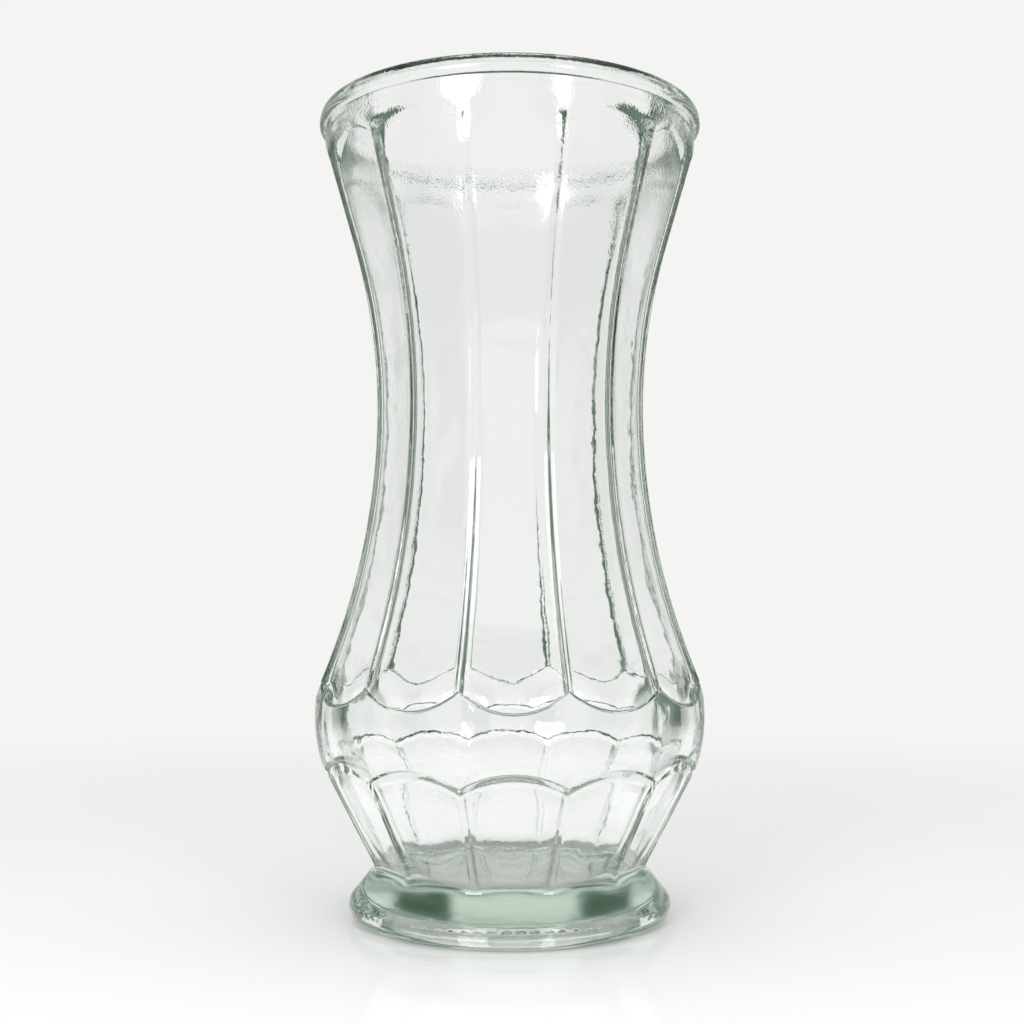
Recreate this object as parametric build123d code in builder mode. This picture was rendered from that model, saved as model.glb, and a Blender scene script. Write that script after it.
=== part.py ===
"""Waisted flower vase of pressed and blown glass, in millimetres.

The vase stands on Z = 0 with its axis on +Z.  Twelve flat panels run up the neck and
twelve more run down the bowl, and a plain round belly lies between them.  The rim is a
bead, and the foot is a thick disc that stands on a ring round a shallow recess.

The glass is shaped once, as a turned section with its panels cut, and is then divided at
flat faces into its five formed zones: rim bead, neck, belly, bowl and foot.
"""

from build123d import *
import os
from math import radians, tan

# Whole vase
vase_height = 254.0
panel_count = 12

# Rim bead, which is as wide as the belly less a small inset, and the plain collar below it
rim_inset = 0.2
rim_widest_drop = 4.4
bead_height = 5.8
bead_overhang = 1.9
crown_inset = 2.4
lip_inset = 5.0
lip_drop = 3.0

# Neck: radii and heights are those of the middle of a panel
waist_radius = 41.6
waist_height = 157.5
flare_bend_share = 0.31
neck_arch_drop = 11.1
neck_arch_rise = 5.6
neck_arch_inset = 0.95
neck_scallop_lift = 4.7
neck_scallop_rise = 6.8
neck_scallop_inset = 0.75

# Belly
belly_radius = 61.3
belly_height = 62.7
belly_top_lift = 10.8
belly_top_inset = 1.1
belly_foot_drop = 16.3
belly_foot_inset = 2.7

# Bowl: radii and heights are those of the middle of a panel
bowl_arch_drop = 11.8
bowl_arch_rise = 5.3
bowl_arch_inset = 2.5
bowl_panel_depth = 1.6
runout_length = 3.2
runout_reach = 1.9
runout_drop = 1.6

# Foot, and the ankle where it meets the bowl
ankle_radius = 42.5
ankle_height = 15.6
ankle_round = 3.0
foot_radius = 50.4
foot_edge_height = 4.4
foot_shoulder_rise = 1.5
bearing_inset = 3.7
bearing_width = 5.7
recess_depth = 3.9
recess_draft = 0.7
recess_round = 0.6
push_up_height = 0.3

# Bore: the glass is blown against the panels, so the bore of the neck has soft flats and corners
throat_drop = 16.6
collar_wall = 5.6
neck_wall = 3.0
bore_flat_depth = 0.2
bore_corner_depth = 1.1
belly_wall = 4.5
bowl_wall = 3.7
bore_swell_share = 0.89
floor_drop = 1.1
floor_round = 2.0

# Plain glass kept between a panel's end and the face of the next zone, and the spare length of cuts
zone_margin = 0.9
overrun = 8.0

# Sizes that follow from the ones above
half_panel = radians(180 / panel_count)
panel_half_width = belly_radius * tan(half_panel)
cut_reach = belly_radius + overrun
rim_radius = belly_radius - rim_inset
collar_radius = rim_radius - bead_overhang
crown_radius = rim_radius - crown_inset
mouth_radius = crown_radius - lip_inset
lip_height = vase_height - lip_drop
rim_seat_height = vase_height - bead_height
neck_arch_height = vase_height - neck_arch_drop
neck_scallop_height = belly_height + neck_scallop_lift
bowl_arch_height = belly_height - bowl_arch_drop
floor_height = ankle_height - floor_drop
bearing_radius = foot_radius - bearing_inset
recess_radius = bearing_radius - bearing_width
neck_seat_height = neck_scallop_height - zone_margin
belly_seat_height = bowl_arch_height + zone_margin

# Middle line of a neck panel: arch under the rim, bend of the flare, waist, scallop on the belly
neck_arch = Vector(collar_radius - neck_arch_inset, neck_arch_height)
neck_waist = Vector(waist_radius, waist_height)
flare_bend = flare_bend_share * (neck_arch_height - waist_height)
neck_bend = neck_waist + Vector(0, flare_bend)
neck_scallop = Vector(belly_radius - neck_scallop_inset, neck_scallop_height)

# Middle line of a bowl panel: arch on the belly, ankle, and the run-out on the foot
ankle = Vector(ankle_radius, ankle_height)
bowl_arch = Vector(belly_radius - bowl_arch_inset, bowl_arch_height)
bowl_ankle = ankle - Vector(bowl_panel_depth, 0)
bowl_fall = bowl_ankle - bowl_arch
runout_end = ankle + Vector(runout_reach, -runout_drop)

# Bore: throat under the rim, bend of the flare, waist, belly, and the bowl's inner slope to the floor
bore_throat = Vector(collar_radius - collar_wall, vase_height - throat_drop)
bore_waist = neck_waist - Vector(neck_wall, 0)
bore_bend = neck_bend - Vector(neck_wall, 0)
bore_belly = Vector(belly_radius - belly_wall, belly_height)
bore_swell = bore_waist + (bore_belly - bore_waist) * bore_swell_share
bowl_slope = bowl_fall.X / bowl_fall.Y
bowl_bore = bowl_arch + Vector(bowl_fall.Y, -bowl_fall.X).normalized() * bowl_wall
bore_flat = Vector(bore_flat_depth, 0)
bore_corner = Vector(bore_corner_depth, 0)
bore_shoulder = Vector(bore_belly.X, bowl_bore.Y + (bore_belly.X - bowl_bore.X) / bowl_slope)
floor_corner = Vector(bowl_bore.X + (floor_height - bowl_bore.Y) * bowl_slope, floor_height)

# Outside: rounds of the rim and the belly, and the foot's corners before they are rounded
rim_widest = Vector(rim_radius, vase_height - rim_widest_drop)
belly_middle = Vector(belly_radius, belly_height)
belly_top = belly_middle + Vector(-belly_top_inset, belly_top_lift)
belly_foot = belly_middle - Vector(belly_foot_inset, belly_foot_drop)
foot_edge = Vector(foot_radius, foot_edge_height)
foot_shoulder = foot_edge + Vector(0, foot_shoulder_rise)
recess_corner = Vector(recess_radius - recess_draft, recess_depth)
recess_middle = Vector(0, recess_depth + push_up_height)

UP = (0, 1)
DOWN = (0, -1)


def toward(start, target, reach):
    """The point that lies the given reach from the start, on the way to the target."""
    return start + (target - start).normalized() * reach


def arched_outline(low_ends, low_middle, high_ends, high_middle):
    """Face-on outline of a panel cut: two straight sides between an arc below and an arc above."""
    with BuildLine() as outline:
        low = ThreePointArc((-panel_half_width, low_ends), (0, low_middle), (panel_half_width, low_ends))
        high = ThreePointArc((-panel_half_width, high_ends), (0, high_middle), (panel_half_width, high_ends))
        Line(low @ 0, high @ 0)
        Line(low @ 1, high @ 1)
    return outline.edges()


# Cut that leaves one flat neck panel, ended by the scallop below and the arch above
with BuildPart() as neck_cut:
    with BuildSketch(Plane.XZ):
        with BuildLine():
            flare_start = toward(neck_bend, neck_arch, flare_bend)
            sweep_in = TangentArc(neck_waist, neck_scallop, tangent=DOWN)
            foot_of_cut = Line(sweep_in @ 1, sweep_in @ 1 + sweep_in % 1 * overrun)
            TangentArc(neck_waist, flare_start, tangent=UP)
            flare = Line(flare_start, toward(neck_arch, neck_arch * 2 - neck_bend, overrun))
            Polyline(foot_of_cut @ 1, (cut_reach, (foot_of_cut @ 1).Y), (cut_reach, (flare @ 1).Y), flare @ 1)
        make_face()
    extrude(amount=panel_half_width, both=True)
    with BuildSketch(Plane.YZ):
        outline = arched_outline(
            neck_scallop_height + neck_scallop_rise,
            neck_scallop_height,
            neck_arch_height - neck_arch_rise,
            neck_arch_height,
        )
        make_face(outline)
    extrude(amount=cut_reach, mode=Mode.INTERSECT)

# Cut that leaves one flat bowl panel, ended by an arch above and run out on the foot below
with BuildPart() as bowl_cut:
    with BuildSketch(Plane.XZ):
        with BuildLine():
            runout_start = toward(bowl_ankle, bowl_arch, runout_length)
            fall = Line(bowl_arch - bowl_fall.normalized() * overrun, runout_start)
            runout = TangentArc(runout_start, runout_end, tangent=bowl_fall)
            Polyline(runout @ 1, (cut_reach, runout_end.Y), (cut_reach, (fall @ 0).Y), fall @ 0)
        make_face()
    extrude(amount=panel_half_width, both=True)
    with BuildSketch(Plane.YZ):
        outline = arched_outline(0, -overrun, bowl_arch_height - bowl_arch_rise, bowl_arch_height)
        make_face(outline)
    extrude(amount=cut_reach, mode=Mode.INTERSECT)

# Form that opens the neck's round bore into soft flats: its corners less the glass behind each flat
with BuildPart() as bore_flat_cut:
    with BuildSketch(Plane.XZ):
        with BuildLine():
            flat_throat = bore_throat + bore_flat
            flat_flare = toward(bore_bend + bore_flat, flat_throat, flare_bend)
            flat_foot = TangentArc(bore_waist + bore_flat, bore_swell + bore_flat, tangent=DOWN) @ 1
            TangentArc(bore_waist + bore_flat, flat_flare, tangent=UP)
            Line(flat_flare, flat_throat)
            Polyline(flat_foot, (cut_reach, flat_foot.Y), (cut_reach, flat_throat.Y), flat_throat)
        make_face()
    extrude(amount=panel_half_width, both=True)

with BuildPart() as bore_flats:
    with BuildSketch(Plane.XZ):
        with BuildLine():
            corner_flare = toward(bore_bend + bore_corner, bore_throat, flare_bend)
            Line(bore_throat, corner_flare)
            TangentArc(bore_waist + bore_corner, corner_flare, tangent=UP)
            TangentArc(bore_waist + bore_corner, bore_swell, tangent=DOWN)
            Polyline(bore_swell, (0, bore_swell.Y), (0, bore_throat.Y), bore_throat)
        make_face()
    revolve(axis=Axis.Z)
    with PolarLocations(0, panel_count):
        add(bore_flat_cut.part, mode=Mode.SUBTRACT)

# The whole glass: its section turned about the axis, less two rings of panel cuts and the bore's flats
with BuildPart() as glass:
    with BuildSketch(Plane.XZ) as section:
        with BuildLine():
            # Underside and foot
            TangentArc(recess_middle, recess_corner, tangent=(1, 0))
            Polyline(recess_corner, (recess_radius, 0), (bearing_radius, 0))
            TangentArc(foot_edge, (bearing_radius, 0), tangent=DOWN)
            flank_end = toward(foot_shoulder, ankle, foot_shoulder_rise)
            TangentArc(foot_edge, flank_end, tangent=UP)
            # Bowl, belly and neck before their panels are cut, and the collar
            Polyline(flank_end, ankle, belly_foot)
            TangentArc(belly_middle, belly_foot, tangent=DOWN)
            TangentArc(belly_middle, belly_top, tangent=UP)
            collar_foot = (collar_radius, neck_arch_height - neck_arch_rise)
            Polyline(belly_top, collar_foot, (collar_radius, rim_seat_height))
            # Rim bead, over its crown to the mouth
            bead_belly = (collar_radius, rim_widest.Y)
            EllipticalCenterArc(bead_belly, bead_overhang, bead_height - rim_widest_drop, -90, arc_size=90)
            EllipticalCenterArc((crown_radius, rim_widest.Y), crown_inset, rim_widest_drop, arc_size=90)
            lip = EllipticalCenterArc((crown_radius, lip_height), lip_inset, lip_drop, 90, arc_size=90)
            # Bore, down to the inner floor
            bore_flare = toward(bore_bend, bore_throat, flare_bend)
            Polyline(lip @ 1, bore_throat, bore_flare)
            TangentArc(bore_waist, bore_flare, tangent=UP)
            TangentArc(bore_waist, bore_swell, tangent=DOWN)
            TangentArc(bore_belly, bore_swell, tangent=UP)
            bore_fall = toward(bore_shoulder, floor_corner, belly_height - bore_shoulder.Y)
            TangentArc(bore_belly, bore_fall, tangent=DOWN)
            Polyline(bore_fall, floor_corner, (0, floor_height), recess_middle)
        make_face()
        fillet(section.vertices().sort_by_distance(ankle)[0], ankle_round)
        fillet(section.vertices().sort_by_distance(floor_corner)[0], floor_round)
        fillet(section.vertices().sort_by_distance(recess_corner)[0], recess_round)
    revolve(axis=Axis.Z)
    with PolarLocations(0, panel_count):
        add(neck_cut.part, mode=Mode.SUBTRACT)
        add(bowl_cut.part, mode=Mode.SUBTRACT)
    add(bore_flats.part, mode=Mode.SUBTRACT)

# Faces that divide the glass into its zones
rim_seat = Plane.XY.offset(rim_seat_height)
neck_seat = Plane.XY.offset(neck_seat_height)
belly_seat = Plane.XY.offset(belly_seat_height)
foot_seat = Plane.XY.offset(ankle_height)

os.makedirs("parts", exist_ok=True)

# Rim bead
with BuildPart() as rim_bead:
    add(glass.part)
    split(bisect_by=rim_seat, keep=Keep.TOP)
rim_bead.part.label = "rim_bead"
export_step(rim_bead.part, "parts/rim_bead.step")

# Neck with its flat panels, from the collar under the bead to the scallops on the belly
with BuildPart() as panelled_neck:
    add(glass.part)
    split(bisect_by=rim_seat, keep=Keep.BOTTOM)
    split(bisect_by=neck_seat, keep=Keep.TOP)
panelled_neck.part.label = "panelled_neck"
export_step(panelled_neck.part, "parts/panelled_neck.step")

# Plain round belly
with BuildPart() as belly_band:
    add(glass.part)
    split(bisect_by=neck_seat, keep=Keep.BOTTOM)
    split(bisect_by=belly_seat, keep=Keep.TOP)
belly_band.part.label = "belly_band"
export_step(belly_band.part, "parts/belly_band.step")

# Bowl with its flat panels, from the arches on the belly to the ankle
with BuildPart() as panelled_bowl:
    add(glass.part)
    split(bisect_by=belly_seat, keep=Keep.BOTTOM)
    split(bisect_by=foot_seat, keep=Keep.TOP)
panelled_bowl.part.label = "panelled_bowl"
export_step(panelled_bowl.part, "parts/panelled_bowl.step")

# Thick foot with the inner floor above and the recess below
with BuildPart() as foot:
    add(glass.part)
    split(bisect_by=foot_seat, keep=Keep.BOTTOM)
foot.part.label = "foot"
export_step(foot.part, "parts/foot.step")
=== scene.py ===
# %% [markdown]
# # A panelled glass vase
#
# This lesson dresses a waisted flower vase of pressed and blown glass. The construction model gives
# its sizes and the places of its five zones: rim bead, neck, belly, bowl and foot. On the real vase
# they are one piece of glass, so here they become one closed mesh. Glass shows every inner face, and
# five meshes that touch would show four cuts that the real vase doesn't have.
#
# The frame is loaded first. The boxes of its zones give the sizes below.

import bpy
import numpy as np
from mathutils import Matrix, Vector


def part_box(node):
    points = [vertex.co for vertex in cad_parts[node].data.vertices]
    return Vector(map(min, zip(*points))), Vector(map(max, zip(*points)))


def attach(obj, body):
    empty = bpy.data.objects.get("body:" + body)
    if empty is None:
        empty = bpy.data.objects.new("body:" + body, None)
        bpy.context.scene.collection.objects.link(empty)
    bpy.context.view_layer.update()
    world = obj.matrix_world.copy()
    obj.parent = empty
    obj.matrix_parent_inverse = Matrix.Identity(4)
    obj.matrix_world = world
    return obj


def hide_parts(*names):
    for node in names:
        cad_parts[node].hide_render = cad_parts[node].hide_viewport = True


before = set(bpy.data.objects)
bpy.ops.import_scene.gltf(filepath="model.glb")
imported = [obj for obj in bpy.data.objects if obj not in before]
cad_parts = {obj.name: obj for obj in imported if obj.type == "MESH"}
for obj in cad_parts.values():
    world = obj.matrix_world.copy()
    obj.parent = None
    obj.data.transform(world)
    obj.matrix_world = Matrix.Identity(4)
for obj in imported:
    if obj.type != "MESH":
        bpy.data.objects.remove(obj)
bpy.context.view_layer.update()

# %% [markdown]
# ## Sizes
#
# Glass moulds are drawn in millimetres, so the section of the vase is worked out in millimetres and
# becomes metres once, when the mesh is written. Sizes that the frame knows are read from it: how
# high each zone starts and how wide it is. The others are those of the mould drawing.

# %% Sizes of the glass, in millimetres
MM = 0.001


def zone_box(node):
    """Lowest and highest corner of a zone, in millimetres."""
    low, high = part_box(node)
    return np.array(low) / MM, np.array(high) / MM


rim_low, rim_high = zone_box("rim_bead")
belly_low, belly_high = zone_box("belly_band")
foot_low, foot_high = zone_box("foot")

vase_height = rim_high[2]
rim_seat_height = rim_low[2]
rim_radius = rim_high[0]
belly_radius = belly_high[0]
foot_radius = foot_high[0]
ankle_height = foot_high[2]

panel_count = 12
half_panel = np.pi / panel_count
print(f"vase {vase_height:.1f} high, rim {rim_radius:.1f}, belly {belly_radius:.1f}")
print(f"foot {foot_radius:.1f}, ankle {ankle_height:.1f} up")

# %% [markdown]
# ## Lines and arcs of the section
#
# A turner's template has straight stretches and arcs that run smoothly into each other. An arc is
# fixed by where it starts, the way it sets off and where it ends, which is how the mould maker's
# drawing gives it. Both helpers return an array of points (radius, height).

# %% Helpers for the section
UP = (0.0, 1.0)
DOWN = (0.0, -1.0)


def line(start, end, count=2):
    """Evenly spaced points from start to end."""
    return np.linspace(start, end, count)


def arc(start, heading, end, count=24):
    """Points of the arc that leaves start along heading and reaches end.

    The turn of the arc is twice the angle between heading and chord.  The centre lies square to the
    heading, at the chord's length over twice the sine of half the turn.
    """
    start, end = np.array(start, float), np.array(end, float)
    ahead = np.array(heading, float) / np.linalg.norm(heading)
    aside = np.array((-ahead[1], ahead[0]))
    chord = end - start
    half_turn = np.arctan2(chord @ aside, chord @ ahead)
    radius = np.linalg.norm(chord) / (2 * np.sin(half_turn))
    turn = np.linspace(0, 2 * half_turn, count)[:, None]
    return start + radius * (np.sin(turn) * ahead + (1 - np.cos(turn)) * aside)


def toward(start, target, reach):
    """The point that lies the given reach from start, on the way to target."""
    way = np.subtract(target, start)
    return start + way * (reach / np.linalg.norm(way))


def round_corner(before, corner, after, radius, count=12):
    """Arc of the given radius that rounds a corner between two straight stretches."""
    way_in = np.subtract(corner, before) / np.linalg.norm(np.subtract(corner, before))
    way_out = np.subtract(after, corner) / np.linalg.norm(np.subtract(after, corner))
    setback = radius * np.tan(np.arccos(way_in @ way_out) / 2)
    return arc(corner - way_in * setback, way_in, corner + way_out * setback, count)


def quarter(centre, across, tall, start, count):
    """Quarter of an ellipse, turning left from the start angle in degrees."""
    turn = np.radians(np.linspace(start, start + 90, count))
    return np.stack((centre[0] + across * np.cos(turn), centre[1] + tall * np.sin(turn)), axis=1)


def radius_at(height, section):
    """Radius of a section at the given heights, read along its rising points."""
    return np.interp(height, section[:, 1], section[:, 0])


# %% [markdown]
# ## The glass before its panels
#
# Without its panels the vase would be a plain turned form: a spreading foot, an ankle, a bowl that
# widens to the belly, and a straight side up to the collar under the rim. The panels are flats that
# the mould leaves on this form, so they can be found later as the smaller of two radii.
# Below, the base plate presses a shallow recess into the foot, so that the vase stands on a ring
# and doesn't rock.

# %% Turned form of the outside
ankle = np.array((42.5, ankle_height))
ankle_round = 3.0
foot_edge = np.array((foot_radius, 4.4))
foot_shoulder_rise = 1.5
bearing_outer_radius = foot_radius - 3.7
bearing_inner_radius = bearing_outer_radius - 5.7
recess_corner = np.array((bearing_inner_radius - 0.7, 3.3))
recess_round = 0.6
push_up_height = recess_corner[1] + 0.3

belly_middle = np.array((belly_radius, 62.7))
belly_top = belly_middle + (-1.1, 10.8)
belly_foot = belly_middle - (2.7, 16.3)
collar_radius = rim_radius - 1.9
neck_arch_height = vase_height - 11.1
neck_arch_rise = 5.6

flank_end = toward(foot_edge + (0, foot_shoulder_rise), ankle, foot_shoulder_rise)
turned_form = np.vstack((
    flank_end[None],
    round_corner(flank_end, ankle, belly_foot, ankle_round),
    arc(belly_middle, DOWN, belly_foot)[::-1],
    arc(belly_middle, UP, belly_top)[1:],
    line((collar_radius, neck_arch_height - neck_arch_rise), (collar_radius, rim_seat_height)),
))
print("turned form from", turned_form[0].round(1), "to", turned_form[-1].round(1))

# %% [markdown]
# ## Middle lines of the panels
#
# A panel is flat across and curved along its length. Its middle line sweeps in from the belly to the
# waist and flares out again to the rim. On the bowl it falls straight to the ankle and runs out on
# the foot.

# %% Middle line of a neck panel and of a bowl panel
run_on = 8.0
waist = np.array((41.6, 157.5))
flare_bend = 0.31 * (neck_arch_height - waist[1])
neck_arch = np.array((collar_radius - 0.70, neck_arch_height))
scallop_height = belly_middle[1] + 4.7
scallop_rise = 6.8
scallop = np.array((belly_radius - 0.85, scallop_height))
neck_bend = waist + (0, flare_bend)
flare_start = toward(neck_bend, neck_arch, flare_bend)
sweep_in = arc(waist, DOWN, scallop, 48)
neck_line = np.vstack((
    toward(sweep_in[-1], 2 * sweep_in[-1] - sweep_in[-2], run_on)[None],
    sweep_in[::-1],
    arc(waist, UP, flare_start, 32)[1:],
    toward(neck_arch, 2 * neck_arch - neck_bend, run_on)[None],
))

bowl_arch_height = belly_middle[1] - 11.8
bowl_arch_rise = 5.3
bowl_arch = np.array((belly_radius - 2.3, bowl_arch_height))
bowl_ankle = ankle - (1.6, 0)
runout_start = toward(bowl_ankle, bowl_arch, 3.2)
runout_end = ankle + (1.9, -1.6)
bowl_line = np.vstack((
    arc(runout_start, bowl_ankle - bowl_arch, runout_end, 12)[::-1],
    toward(bowl_arch, 2 * bowl_arch - bowl_ankle, run_on)[None],
))
print("waist of a panel", waist, "its flare straightens at", flare_start.round(1))

# %% [markdown]
# ## Columns of the grid
#
# The mesh is a grid of two parameters: one goes round the vase, the other along its section. Each
# panel is flat between two narrow ribs, and the ribs are where light breaks. So most columns lie on
# the ribs, and a few are enough for the flat between them.

# %% Angles of the columns
rib_columns = 9
flat_columns = 4
rib_reach = np.radians(2.4)

columns_per_panel = 2 * (rib_columns + flat_columns)
from_ridge = np.interp(
    np.arange(rib_columns + flat_columns),
    (0, rib_columns, rib_columns + flat_columns),
    (0, rib_reach, half_panel),
)
to_ridge = half_panel - np.append(half_panel, from_ridge[:0:-1])
across_panel = np.concatenate((from_ridge - half_panel, to_ridge))
even_panel = np.linspace(-half_panel, half_panel, columns_per_panel, endpoint=False)
panel_middle = np.repeat(np.arange(panel_count) * 2 * half_panel, columns_per_panel)
crowded_angle = np.tile(across_panel, panel_count)
even_angle = np.tile(even_panel, panel_count)
print(len(crowded_angle), "columns,", np.degrees(across_panel[:3]).round(2), "...")

# %% [markdown]
# ## Panels on the turned form
#
# Across a panel the glass is flat, so its radius is the middle radius over the cosine of the angle.
# Between two panels stands a low rounded rib, as the mould's pockets leave it. Where a panel meets
# the turned form, a soft minimum rounds the edge a little, as fire polishing does.

# %% Radius of the wall
rib_crest_half = 0.3
rib_flank = 1.1
rib_heights = (ankle_height, bowl_arch_height, scallop_height, waist[1] - 45, waist[1], vase_height)
rib_rises = (0.45, 0.50, 0.58, 0.20, 0.03, 0.0)
ridge_rounds = (1.2, 1.2, 1.2, 1.5, 1.6, 1.6)
edge_softness = 0.15


def ease(part):
    """Smooth step from 0 to 1: three times the square of the part less twice its cube."""
    part = np.clip(part, 0, 1)
    return part**2 * (3 - 2 * part)


def panel_radius(middle, angle, corner_round):
    """Flat panels that meet in rounded corners.

    On the flat the radius is middle / cos(angle).  The corner is a circle of radius corner_round,
    centred on the corner's own line at (middle - corner_round) / cos(half_panel).
    """
    off_ridge = half_panel - np.abs(angle)
    centre = (middle - corner_round) / np.cos(half_panel)
    across = np.maximum(corner_round**2 - (centre * np.sin(off_ridge)) ** 2, 0)
    on_ridge = middle * np.tan(np.abs(angle)) > (middle - corner_round) * np.tan(half_panel)
    return np.where(on_ridge, centre * np.cos(off_ridge) + np.sqrt(across), middle / np.cos(angle))


def rib(radius, angle, height):
    """Rise of the rib between two panels: full on its crest, eased to nothing over its flank."""
    off_ridge = radius * np.sin(half_panel - np.abs(angle))
    rise = np.interp(height, rib_heights, rib_rises)
    return rise * (1 - ease((off_ridge - rib_crest_half) / rib_flank))


def soft_minimum(a, b):
    """The smaller of two lengths, eased over edge_softness where they are equal."""
    return (a + b - np.sqrt((a - b) ** 2 + edge_softness**2)) / 2


def wall_radius(angle, height, panelled):
    """Outside of the vase: turned form where panelled is 0, panels where it is 1."""
    turned = radius_at(height, turned_form)
    middle = np.where(height > belly_middle[1], radius_at(height, neck_line), radius_at(height, bowl_line))
    flat = panel_radius(middle, angle, np.interp(height, rib_heights, ridge_rounds))
    panel = soft_minimum(flat + rib(flat, angle, height), turned)
    return turned + (panel - turned) * panelled


# %% [markdown]
# ## Arches and scallops
#
# Seen face on, a neck panel ends in an arch under the rim and in a scallop on the belly, and a bowl
# panel ends in an arch below the belly. Each is an arc of a circle. The grid's rows follow these
# arcs, so the small step there is a clean line and not a staircase.

# %% Heights at which the panels end
panel_half_width = belly_radius * np.tan(half_panel)


def end_height(angle, apex, rise, section):
    """Height of a panel's arched end at each angle.

    The arc passes the apex in the middle and lies rise away from it at the panel's edge.  The
    distance from the middle is the section's radius times the tangent of the angle.
    """
    circle = (panel_half_width**2 + rise**2) / (2 * rise)
    height = np.full_like(angle, apex)
    for _ in range(3):
        aside = radius_at(height, section) * np.tan(angle)
        height = apex + circle - np.sign(rise) * np.sqrt(circle**2 - aside**2)
    return height


bowl_arch_line = end_height(crowded_angle, bowl_arch_height, -bowl_arch_rise, bowl_line)
scallop_line = end_height(crowded_angle, scallop_height, scallop_rise, neck_line)
neck_arch_line = end_height(crowded_angle, neck_arch_height, -neck_arch_rise, neck_line)
print("bowl ridges end at", bowl_arch_line.min().round(1))
print("neck ridges run from", scallop_line.max().round(1), "to", neck_arch_line.min().round(1))

# %% [markdown]
# ## Rows of the outside
#
# The wall is built in bands from the ankle to the rim. A band's rows lie between a lower and an upper
# line, and a narrow band at each arch carries the step from panel to plain glass. Along the
# scallops and the bowl's arches the mould's edge also leaves a fine groove. Its face that looks
# down bends the view up past the backdrop, and that is why these ends read as thin dark lines.
# Under the rim the step is long and soft, and it nearly vanishes in the middle of each arch.

# %% Bands of the wall
neck_step = 2.40
neck_parts = neck_step * np.array((-1.0, -0.85, -0.7, -0.35, 0.0, 0.35, 0.7, 0.85, 1.0))
bowl_parts = np.array((-2.4, -1.8, -1.3, -0.9, -0.6, -0.4, -0.28, -0.14, 0.0, 0.14, 0.28, 0.4))
scallop_parts = np.array((-0.5, -0.36, -0.18, 0.0, 0.1, 0.2, 0.3, 0.4, 0.5, 0.6, 0.75, 0.9))
bowl_limits = (-2.4, -0.28, 0.28)
scallop_limits = (-0.36, 0.1, 0.55)
neck_limits = (-0.85 * neck_step, 0, 0.85 * neck_step)
bowl_groove = 1.0
scallop_groove = 0.75
collar_end = rim_seat_height - 0.4


def band(low, high, rows, panelled):
    """Rows spread evenly between two lines, which aren't themselves repeated."""
    part = (np.arange(rows)[:, None] + 1) / (rows + 1)
    height = low + (high - low) * part + 0 * crowded_angle
    return wall_radius(crowded_angle, height, panelled), height


def step(line_height, offsets, limits, shares, groove):
    """Narrow band along an arched end.

    Between the limits, offsets from the line, the panelled share and the depth of the groove change
    evenly from each value to the next.
    """
    height = line_height + offsets[:, None]
    panelled = np.interp(offsets, limits, shares)[:, None]
    depth = np.interp(offsets, limits, groove)[:, None]
    return wall_radius(crowded_angle, height, panelled) - depth, height


panels_start = runout_end[1] - 1.4
wall_bands = [
    band(panels_start, bowl_arch_line + bowl_parts[0], 26, 1),
    step(bowl_arch_line, bowl_parts, bowl_limits, (1, 1, 0), (0, bowl_groove, 0)),
    band(bowl_arch_line + bowl_parts[-1], scallop_line + scallop_parts[0], 12, 0),
    step(scallop_line, scallop_parts, scallop_limits, (0, 1, 1), (0, scallop_groove, 0)),
    band(scallop_line + scallop_parts[-1], neck_arch_line - neck_step, 42, 1),
    step(neck_arch_line, neck_parts, neck_limits, (1, 0.5, 0), (0, 0, 0)),
    band(neck_arch_line + neck_step, collar_end, 4, 0),
]
print("wall rows", sum(len(height) for _, height in wall_bands))

# %% [markdown]
# ## Turned rows
#
# The foot, the rim bead and the bore are turned stretches. The bead has three quarter ellipses: a
# low one under its widest line, a tall one over it, and a broad one that rolls into the mouth, as
# fire polishing leaves it. The bore has no sharp corner below the collar, because air shaped it and
# not a mould. The foot stands on a narrow ring round its recess.

# %% Foot, rim and bore
floor_height = ankle_height - 1.1
floor_round = 2.0
bead_overhang = rim_radius - collar_radius
bead_fillet = 0.3
widest_height = vase_height - 4.4
crown_inset = 2.4
crown_radius = rim_radius - crown_inset
lip_inset, lip_drop = 5.0, 3.0
mouth = np.array((crown_radius - lip_inset, vase_height - lip_drop))

neck_wall = 3.0
bore_throat = np.array((collar_radius - 5.6, vase_height - 16.6))
throat_round = 95.0
bore_waist = waist - (neck_wall, 0)
bore_bend = neck_bend - (neck_wall, 0)
bore_flare = toward(bore_bend, bore_throat, flare_bend)
bore_belly = belly_middle - (4.5, 0)
bore_swell = bore_waist + (bore_belly - bore_waist) * 0.89
bowl_fall = bowl_ankle - bowl_arch
bowl_slope = bowl_fall[0] / bowl_fall[1]
bowl_bore = bowl_arch + np.array((bowl_fall[1], -bowl_fall[0])) / np.linalg.norm(bowl_fall) * 3.7
bore_shoulder = np.array((bore_belly[0], bowl_bore[1] + (bore_belly[0] - bowl_bore[0]) / bowl_slope))
floor_corner = np.array((bowl_bore[0] + (floor_height - bowl_bore[1]) * bowl_slope, floor_height))
bore_fall = toward(bore_shoulder, floor_corner, belly_middle[1] - bore_shoulder[1])

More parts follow.
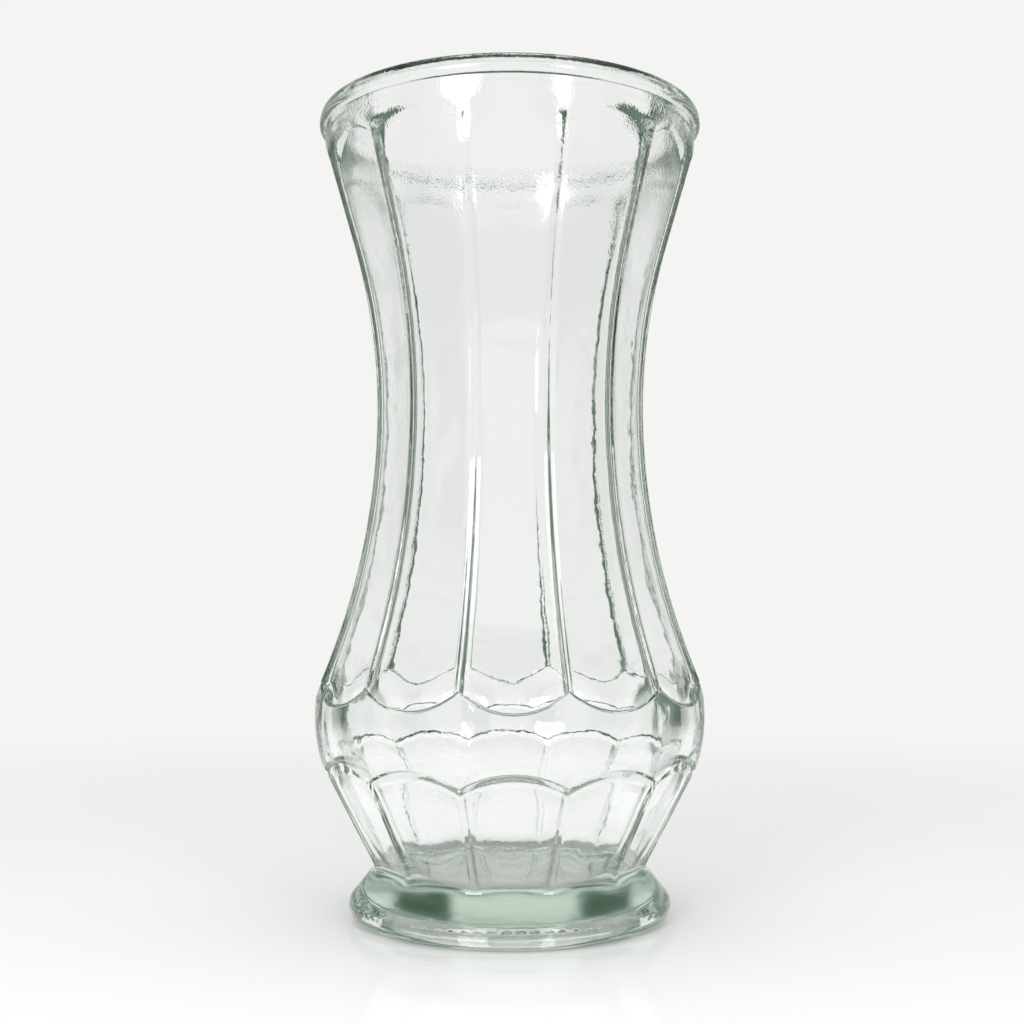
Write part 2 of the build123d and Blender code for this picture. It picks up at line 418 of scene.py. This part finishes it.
recess_foot = (bearing_inner_radius, 0)
recess_bend = round_corner((0, push_up_height), recess_corner, recess_foot, recess_round, 6)
ceiling = arc((0, push_up_height), (1, 0), recess_bend[0], 14)[1:]
underside = np.vstack((ceiling, recess_bend[1:], line(recess_bend[-1], recess_foot, 5)[1:]))
bearing = line((bearing_inner_radius, 0), (bearing_outer_radius, 0), 9)[1:]
foot_round = arc(foot_edge, DOWN, (bearing_outer_radius, 0), 12)[::-1][1:]
flank = np.vstack((
    arc(foot_edge, UP, flank_end, 6)[1:],
    line(flank_end, (radius_at(panels_start, turned_form), panels_start), 5)[1:],
))
under_tall, top_tall = widest_height - rim_seat_height, vase_height - widest_height
bead_under = quarter((collar_radius, widest_height), bead_overhang, under_tall, -90, 12)
bead_top = quarter((crown_radius, widest_height), crown_inset, top_tall, 0, 16)
lip = quarter((crown_radius, mouth[1]), lip_inset, lip_drop, 90, 16)
fillet_end = (collar_radius + bead_fillet, rim_seat_height)
rim = np.vstack((
    arc((collar_radius, rim_seat_height - bead_fillet), UP, fillet_end, 6),
    bead_under[2:],
    bead_top[1:],
    lip[1:],
))
throat_bend = round_corner(mouth, bore_throat, bore_flare, throat_round, 18)
floor_bend = round_corner(bore_fall, floor_corner, (0, floor_height), floor_round, 12)
bore = np.vstack((
    throat_bend,
    line(throat_bend[-1], bore_flare, 8)[1:],
    arc(bore_waist, UP, bore_flare, 14)[::-1][1:],
    arc(bore_waist, DOWN, bore_swell, 30)[1:],
    arc(bore_belly, UP, bore_swell, 8)[::-1][1:],
    arc(bore_belly, DOWN, bore_fall, 10)[1:],
    line(bore_fall, floor_bend[0], 8)[1:],
    floor_bend[1:],
    line(floor_bend[-1], (0, floor_height), 6)[1:-1],
))
print("turned rows", len(underside) + len(bearing) + len(foot_round) + len(flank) + len(rim) + len(bore))

# %% [markdown]
# ## One closed grid
#
# Foot, wall, rim and bore follow each other in one long strip, from the middle of the underside up
# the outside, over the rim and down to the middle of the inner floor. Two poles close its ends.
#
# The base plate knurls the standing ring, so that the glass doesn't scratch, and leaves a row of
# small notches round the foot's edge. The rows of the foot space their columns evenly, which gives
# each groove the same width.

# %% Put the strip together
knurl_count = 78
knurl_depth = 0.3
notch_height = foot_edge[1] + 0.7
notch_half = 0.5
notch_depth = 0.18
notch_reach = 2
bore_corner_round = 8.0
neck_ease = 12
throat_ease = 24
bowl_ease = 8
floor_clear = 4


def turned(section):
    """A turned stretch: the same radius and height at every column."""
    return [np.repeat(section[:, i : i + 1], len(crowded_angle), axis=1) for i in (0, 1)]


def blown(section):
    """The bore: where the wall is panelled it follows the panels, with corners rounded by blowing."""
    middle, height = turned(section)
    on_neck = ease((height - scallop_height) / neck_ease) * ease((mouth[1] - height) / throat_ease)
    above_floor = ease((height - floor_height - floor_clear) / bowl_ease)
    on_bowl = above_floor * ease((bowl_arch_height - height) / bowl_ease)
    cornered = panel_radius(middle, crowded_angle, bore_corner_round)
    return middle + (cornered - middle) * np.maximum(on_neck, on_bowl), height


foot_rows = [turned(underside), turned(bearing), turned(foot_round), turned(flank)]
strips = foot_rows + wall_bands + [turned(rim), blown(bore)]
radius = np.vstack([strip[0] for strip in strips])
height = np.vstack([strip[1] for strip in strips])

rows_of_foot = sum(len(strip[0]) for strip in foot_rows)
evenness = np.clip((rows_of_foot + 2 - np.arange(len(radius))) / 9, 0, 1)[:, None]
angle = panel_middle + crowded_angle + (even_angle - crowded_angle) * evenness

on_bearing = slice(len(underside), len(underside) + len(bearing) - 1)
across_bearing = np.sin(np.pi * np.arange(len(bearing) - 1) / (len(bearing) - 1))[:, None]
groove = (1 - np.cos(knurl_count * angle[on_bearing])) / 2
height[on_bearing] += knurl_depth * across_bearing * groove
on_foot = slice(0, rows_of_foot)
off_notch = (height[on_foot] - notch_height) / notch_half
along_edge = np.exp(-(off_notch**2)) * (radius[on_foot] > foot_radius - notch_reach)
radius[on_foot] -= notch_depth * along_edge * (1 - np.cos(knurl_count * angle[on_foot])) / 2
print("grid", radius.shape, "quads", (len(radius) - 1) * radius.shape[1])

# %% [markdown]
# ## From grid to mesh
#
# Every cell of the grid becomes a quad, the last column joins the first, and a fan of triangles
# closes each pole. The arrays go into the mesh whole. The signed volume tells that the faces point
# outwards, and gives the weight of the glass. An attribute marks where the underside is stippled:
# fully on the standing ring, half as much on the recess.

# %% Write the mesh


def grid_mesh(name, points, low_pole, high_pole):
    """Closed mesh from a (rows, columns, 3) grid in millimetres, with a pole at each end."""
    rows, columns = points.shape[:2]
    index = np.arange(rows * columns).reshape(rows, columns)
    here, beside = index, np.roll(index, -1, axis=1)
    quads = np.stack((here[:-1], beside[:-1], beside[1:], here[1:]), axis=-1).reshape(-1, 4)
    low, high = rows * columns, rows * columns + 1
    fan_low = np.stack((np.full(columns, low), beside[0], here[0]), axis=-1)
    fan_high = np.stack((np.full(columns, high), here[-1], beside[-1]), axis=-1)
    triangles = np.vstack((fan_low, fan_high))

    places = np.vstack((points.reshape(-1, 3), low_pole, high_pole)) * MM
    loops = np.concatenate((quads.ravel(), triangles.ravel()))
    starts = np.concatenate((np.arange(len(quads)) * 4, len(quads) * 4 + np.arange(len(triangles)) * 3))
    mesh = bpy.data.meshes.new(name)
    mesh.vertices.add(len(places))
    mesh.vertices.foreach_set("co", places.ravel())
    mesh.loops.add(len(loops))
    mesh.loops.foreach_set("vertex_index", loops.astype(np.int32))
    mesh.polygons.add(len(starts))
    mesh.polygons.foreach_set("loop_start", starts.astype(np.int32))
    mesh.update(calc_edges=True)
    mesh.validate()
    mesh.shade_smooth()

    corners = np.vstack((quads[:, [0, 1, 2]], quads[:, [0, 2, 3]], triangles))
    a, b, c = (places[corners[:, i]] for i in range(3))
    volume = (a * np.cross(b, c)).sum() / 6
    print(f"{name}: {len(corners)} triangles, {volume * 1e6:.1f} ml of glass")
    return mesh


points = np.stack((radius * np.sin(angle), -radius * np.cos(angle), height), axis=-1)
glass_mesh = grid_mesh("vase_glass", points, (0, 0, push_up_height), (0, 0, floor_height))
ceiling_stipple = 0.5
under = np.zeros(radius.size + 2, np.float32)
across = radius.shape[1]
under[: len(ceiling) * across] = ceiling_stipple
under[-2] = ceiling_stipple
under[len(underside) * across : (len(underside) + len(bearing)) * across] = 1.0
glass_mesh.attributes.new("underside", "FLOAT", "POINT").data.foreach_set("value", under)
vase_glass = bpy.data.objects.new("vase_glass", glass_mesh)
bpy.context.scene.collection.objects.link(vase_glass)
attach(vase_glass, "root")
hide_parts("rim_bead", "panelled_neck", "belly_band", "panelled_bowl", "foot")

# %% [markdown]
# ## Clear glass
#
# Bottle and vase glass holds a little iron, which turns it grey-green where light travels through a
# lot of it: at the edges and in the thick foot. So the surface stays clear and the colour comes from
# absorption in the volume. The skin isn't perfect either, and four bumps of noise give its faults: a
# shallow ripple from the mould, a finer unevenness, a grain near the rim where the mould was cold,
# and the stipple of the underside, which softens what the foot mirrors.

# %% Glass material


def glass_material():
    """Clear surface with a rippled skin, and absorption that is strongest for red."""
    material = bpy.data.materials.new("vase_clear_glass")
    material.use_nodes = True
    nodes, links = material.node_tree.nodes, material.node_tree.links
    surface = nodes["Principled BSDF"]
    surface.inputs["Base Color"].default_value = (1.0, 1.0, 1.0, 1.0)
    surface.inputs["Transmission Weight"].default_value = 1.0
    surface.inputs["IOR"].default_value = 1.51
    surface.inputs["Roughness"].default_value = 0.0

    place = nodes.new("ShaderNodeTexCoord")
    heights = nodes.new("ShaderNodeSeparateXYZ")
    links.new(place.outputs["Object"], heights.inputs["Vector"])
    chill = nodes.new("ShaderNodeMapRange")
    chill.interpolation_type = "SMOOTHSTEP"
    links.new(heights.outputs["Z"], chill.inputs["Value"])
    chill.inputs["From Min"].default_value = 0.185
    chill.inputs["From Max"].default_value = 0.225
    chill.inputs["To Min"].default_value = 0.12
    chill.inputs["To Max"].default_value = 1.0

    under = nodes.new("ShaderNodeAttribute")
    under.attribute_name = "underside"
    last = None
    for scale, depth, strength in (
        (60.0, 0.00022, None),
        (220.0, 0.00004, None),
        (1500.0, 0.000035, chill.outputs["Result"]),
        (2500.0, 0.00004, under.outputs["Fac"]),
    ):
        noise = nodes.new("ShaderNodeTexNoise")
        noise.inputs["Scale"].default_value = scale
        noise.inputs["Detail"].default_value = 1.0
        links.new(place.outputs["Object"], noise.inputs["Vector"])
        bump = nodes.new("ShaderNodeBump")
        bump.inputs["Strength"].default_value = 1.0
        bump.inputs["Distance"].default_value = depth
        links.new(noise.outputs["Fac"], bump.inputs["Height"])
        if strength is not None:
            links.new(strength, bump.inputs["Strength"])
        if last is not None:
            links.new(last.outputs["Normal"], bump.inputs["Normal"])
        last = bump
    links.new(last.outputs["Normal"], surface.inputs["Normal"])

    tint = nodes.new("ShaderNodeVolumeAbsorption")
    tint.inputs["Color"].default_value = (0.35, 0.62, 0.44, 1.0)
    tint.inputs["Density"].default_value = 8.0
    links.new(tint.outputs["Volume"], nodes["Material Output"].inputs["Volume"])
    return material


vase_glass.data.materials.append(glass_material())
print("glass:", vase_glass.data.materials[0].name)

# %% [markdown]
# ## Floor
#
# The vase stands on a glossy white table top, which keeps a faint reflection and a soft shadow. A
# real one is bent up behind into the backdrop, so that no edge shows. Here the table top fades out
# with the distance from the vase, and the backdrop's white takes its place.

# %% Floor
floor_half = 3.0
floor_gap = 0.05 * MM
floor_mesh = bpy.data.meshes.new("floor")
floor_mesh.from_pydata(
    [(-floor_half, -floor_half, -floor_gap), (floor_half, -floor_half, -floor_gap),
     (floor_half, floor_half, -floor_gap), (-floor_half, floor_half, -floor_gap)],
    [], [(0, 1, 2, 3)],
)
floor = bpy.data.objects.new("floor", floor_mesh)
bpy.context.scene.collection.objects.link(floor)

paint = bpy.data.materials.new("white_table")
paint.use_nodes = True
table = paint.node_tree.nodes["Principled BSDF"]
table.inputs["Base Color"].default_value = (0.97, 0.97, 0.96, 1.0)
table.inputs["Roughness"].default_value = 0.12
table.inputs["Specular IOR Level"].default_value = 0.25
fade_nodes, fade_links = paint.node_tree.nodes, paint.node_tree.links
where = fade_nodes.new("ShaderNodeTexCoord")
reach = fade_nodes.new("ShaderNodeVectorMath")
reach.operation = "LENGTH"
fade_links.new(where.outputs["Object"], reach.inputs[0])
fade = fade_nodes.new("ShaderNodeMapRange")
fade.interpolation_type = "SMOOTHSTEP"
fade_links.new(reach.outputs["Value"], fade.inputs["Value"])
fade.inputs["From Min"].default_value = 0.12
fade.inputs["From Max"].default_value = 0.6
clear = fade_nodes.new("ShaderNodeBsdfTransparent")
blend = fade_nodes.new("ShaderNodeMixShader")
fade_links.new(fade.outputs["Result"], blend.inputs["Fac"])
fade_links.new(table.outputs["BSDF"], blend.inputs[1])
fade_links.new(clear.outputs["BSDF"], blend.inputs[2])
fade_links.new(blend.outputs["Shader"], fade_nodes["Material Output"].inputs["Surface"])
floor_mesh.materials.append(paint)

# %% [markdown]
# ## Studio
#
# Clear glass is drawn by what surrounds it. White screens shine through its flats, and the dark
# room between and above them shows in its edges, its ridges and the rim. The world holds both as a
# pattern of the direction: the cosine of eight times the angle round the vase makes the screens,
# and the height of the direction ends them. Only light that has passed through glass sees this
# pattern. The camera itself sees the plain backdrop, mirrored light sees a middle grey, and the
# table is lit evenly.

# %% World
backdrop = (0.905, 0.905, 0.890, 1.0)
world = bpy.data.worlds.new("studio")
world.use_nodes = True
bpy.context.scene.world = world
nodes, links = world.node_tree.nodes, world.node_tree.links
sky = nodes["Background"]
shade = (0.050, 0.105, 0.070, 1.0)


def math(operation, first, second=None):
    """A Math node of the world on one or two inputs, each a socket or a number."""
    node = nodes.new("ShaderNodeMath")
    node.operation = operation
    for socket, value in zip(node.inputs, (first, second)):
        if isinstance(value, (int, float)):
            socket.default_value = value
        elif value is not None:
            links.new(value, socket)
    return node.outputs["Value"]


direction = nodes.new("ShaderNodeTexCoord")
axes = nodes.new("ShaderNodeSeparateXYZ")
links.new(direction.outputs["Generated"], axes.inputs["Vector"])
screen_count = 8
screen_half = 12.5
screen_edge = 2.0
screen_top = 32.5
top_edge = 3.0
front_light = 0.5


def eased(value, low, high, at_low, at_high):
    """A Map Range node that eases from one value to another between two limits."""
    node = nodes.new("ShaderNodeMapRange")
    node.interpolation_type = "SMOOTHSTEP"
    links.new(value, node.inputs["Value"])
    for name, number in zip(("From Min", "From Max", "To Min", "To Max"), (low, high, at_low, at_high)):
        node.inputs[name].default_value = number
    return node.outputs["Result"]


round_angle = math("ARCTAN2", axes.outputs["X"], axes.outputs["Y"])
wave = math("COSINE", math("MULTIPLY", round_angle, screen_count))
gap_start = np.cos(np.radians(screen_count * (screen_half + screen_edge)))
gap_end = np.cos(np.radians(screen_count * screen_half))
screens = eased(wave, gap_start, gap_end, 0.0, 1.0)
top_start, top_end = np.sin(np.radians((screen_top, screen_top + top_edge)))
below_top = eased(axes.outputs["Z"], top_start, top_end, 1.0, 0.0)
room = math("MULTIPLY", screens, below_top)
paths = nodes.new("ShaderNodeLightPath")
scattered = math("GREATER_THAN", paths.outputs["Diffuse Depth"], 0.5)
through = math("GREATER_THAN", paths.outputs["Transmission Depth"], 0.5)
seen = math("ADD", math("MULTIPLY", math("SUBTRACT", room, front_light), through), front_light)
tone = nodes.new("ShaderNodeMix")
tone.data_type = "RGBA"
tone.inputs[6].default_value = shade
tone.inputs[7].default_value = backdrop
links.new(math("MAXIMUM", paths.outputs["Is Camera Ray"], seen), tone.inputs[0])
lit = nodes.new("ShaderNodeMix")
lit.data_type = "RGBA"
lit.inputs[7].default_value = (1.0, 1.0, 1.0, 1.0)
links.new(scattered, lit.inputs[0])
links.new(tone.outputs[2], lit.inputs[6])
links.new(lit.outputs[2], sky.inputs["Color"])
world.cycles.sampling_method = "NONE"
print("world:", screen_count, "white screens", 2 * screen_half, "degrees wide")

# %% [markdown]
# ## Lamps
#
# Two soft boxes stand in front, left and right, above the rim, and a third hangs overhead. They add
# little light. The front ones are there for the highlights on the collar, the third for the table.

# %% Soft boxes


def soft_box(name, azimuth, elevation, distance, width, tall, watts):
    """A rectangular lamp that faces the middle of the vase from the given direction."""
    lamp = bpy.data.lights.new(name, "AREA")
    lamp.shape = "RECTANGLE"
    lamp.size, lamp.size_y = width, tall
    lamp.energy = watts
    box = bpy.data.objects.new(name, lamp)
    bpy.context.scene.collection.objects.link(box)
    across, up = np.radians(azimuth), np.radians(elevation)
    away = np.array((np.sin(across) * np.cos(up), -np.cos(across) * np.cos(up), np.sin(up)))
    box.location = away * distance + (0, 0, vase_height * MM / 2)
    box.rotation_euler = (np.pi / 2 - up, 0, across)
    return box


soft_box("soft_box_left", -31, 22, 1.6, 0.60, 0.50, 6)
soft_box("soft_box_right", 30, 22, 1.6, 0.30, 0.50, 2.7)
soft_box("soft_box_top", 0, 82, 1.5, 0.80, 0.80, 1.5)

# %% [markdown]
# ## Camera
#
# The camera is a 50 mm lens about half a metre away, a little below the waist, tilted up slightly.

# %% Camera
camera_distance = 0.4562
camera_height = 0.1032
camera_turn = np.radians(-1.18)
camera_pitch = np.radians(2.94)
lens = bpy.data.cameras.new("camera")
lens.lens = 50.2
lens.sensor_width = 36.0
lens.shift_x = 0.0022
lens.clip_start = 0.01
camera = bpy.data.objects.new("camera", lens)
bpy.context.scene.collection.objects.link(camera)
camera.location = (
    camera_distance * np.sin(camera_turn),
    -camera_distance * np.cos(camera_turn),
    camera_height,
)
camera.rotation_euler = (np.pi / 2 + camera_pitch, 0, camera_turn)
bpy.context.scene.camera = camera
bpy.context.scene.view_settings.view_transform = "Standard"

# %% [markdown]
# ## Finish
#
# Light is followed through up to 32 bounces, as many of them through glass, and up to 16 mirrored ones.
# The visual model has to stay in the construction model's box.

# %% Finish
scene = bpy.context.scene
scene.cycles.max_bounces = 32
scene.cycles.transmission_bounces = 32
scene.cycles.glossy_bounces = 16
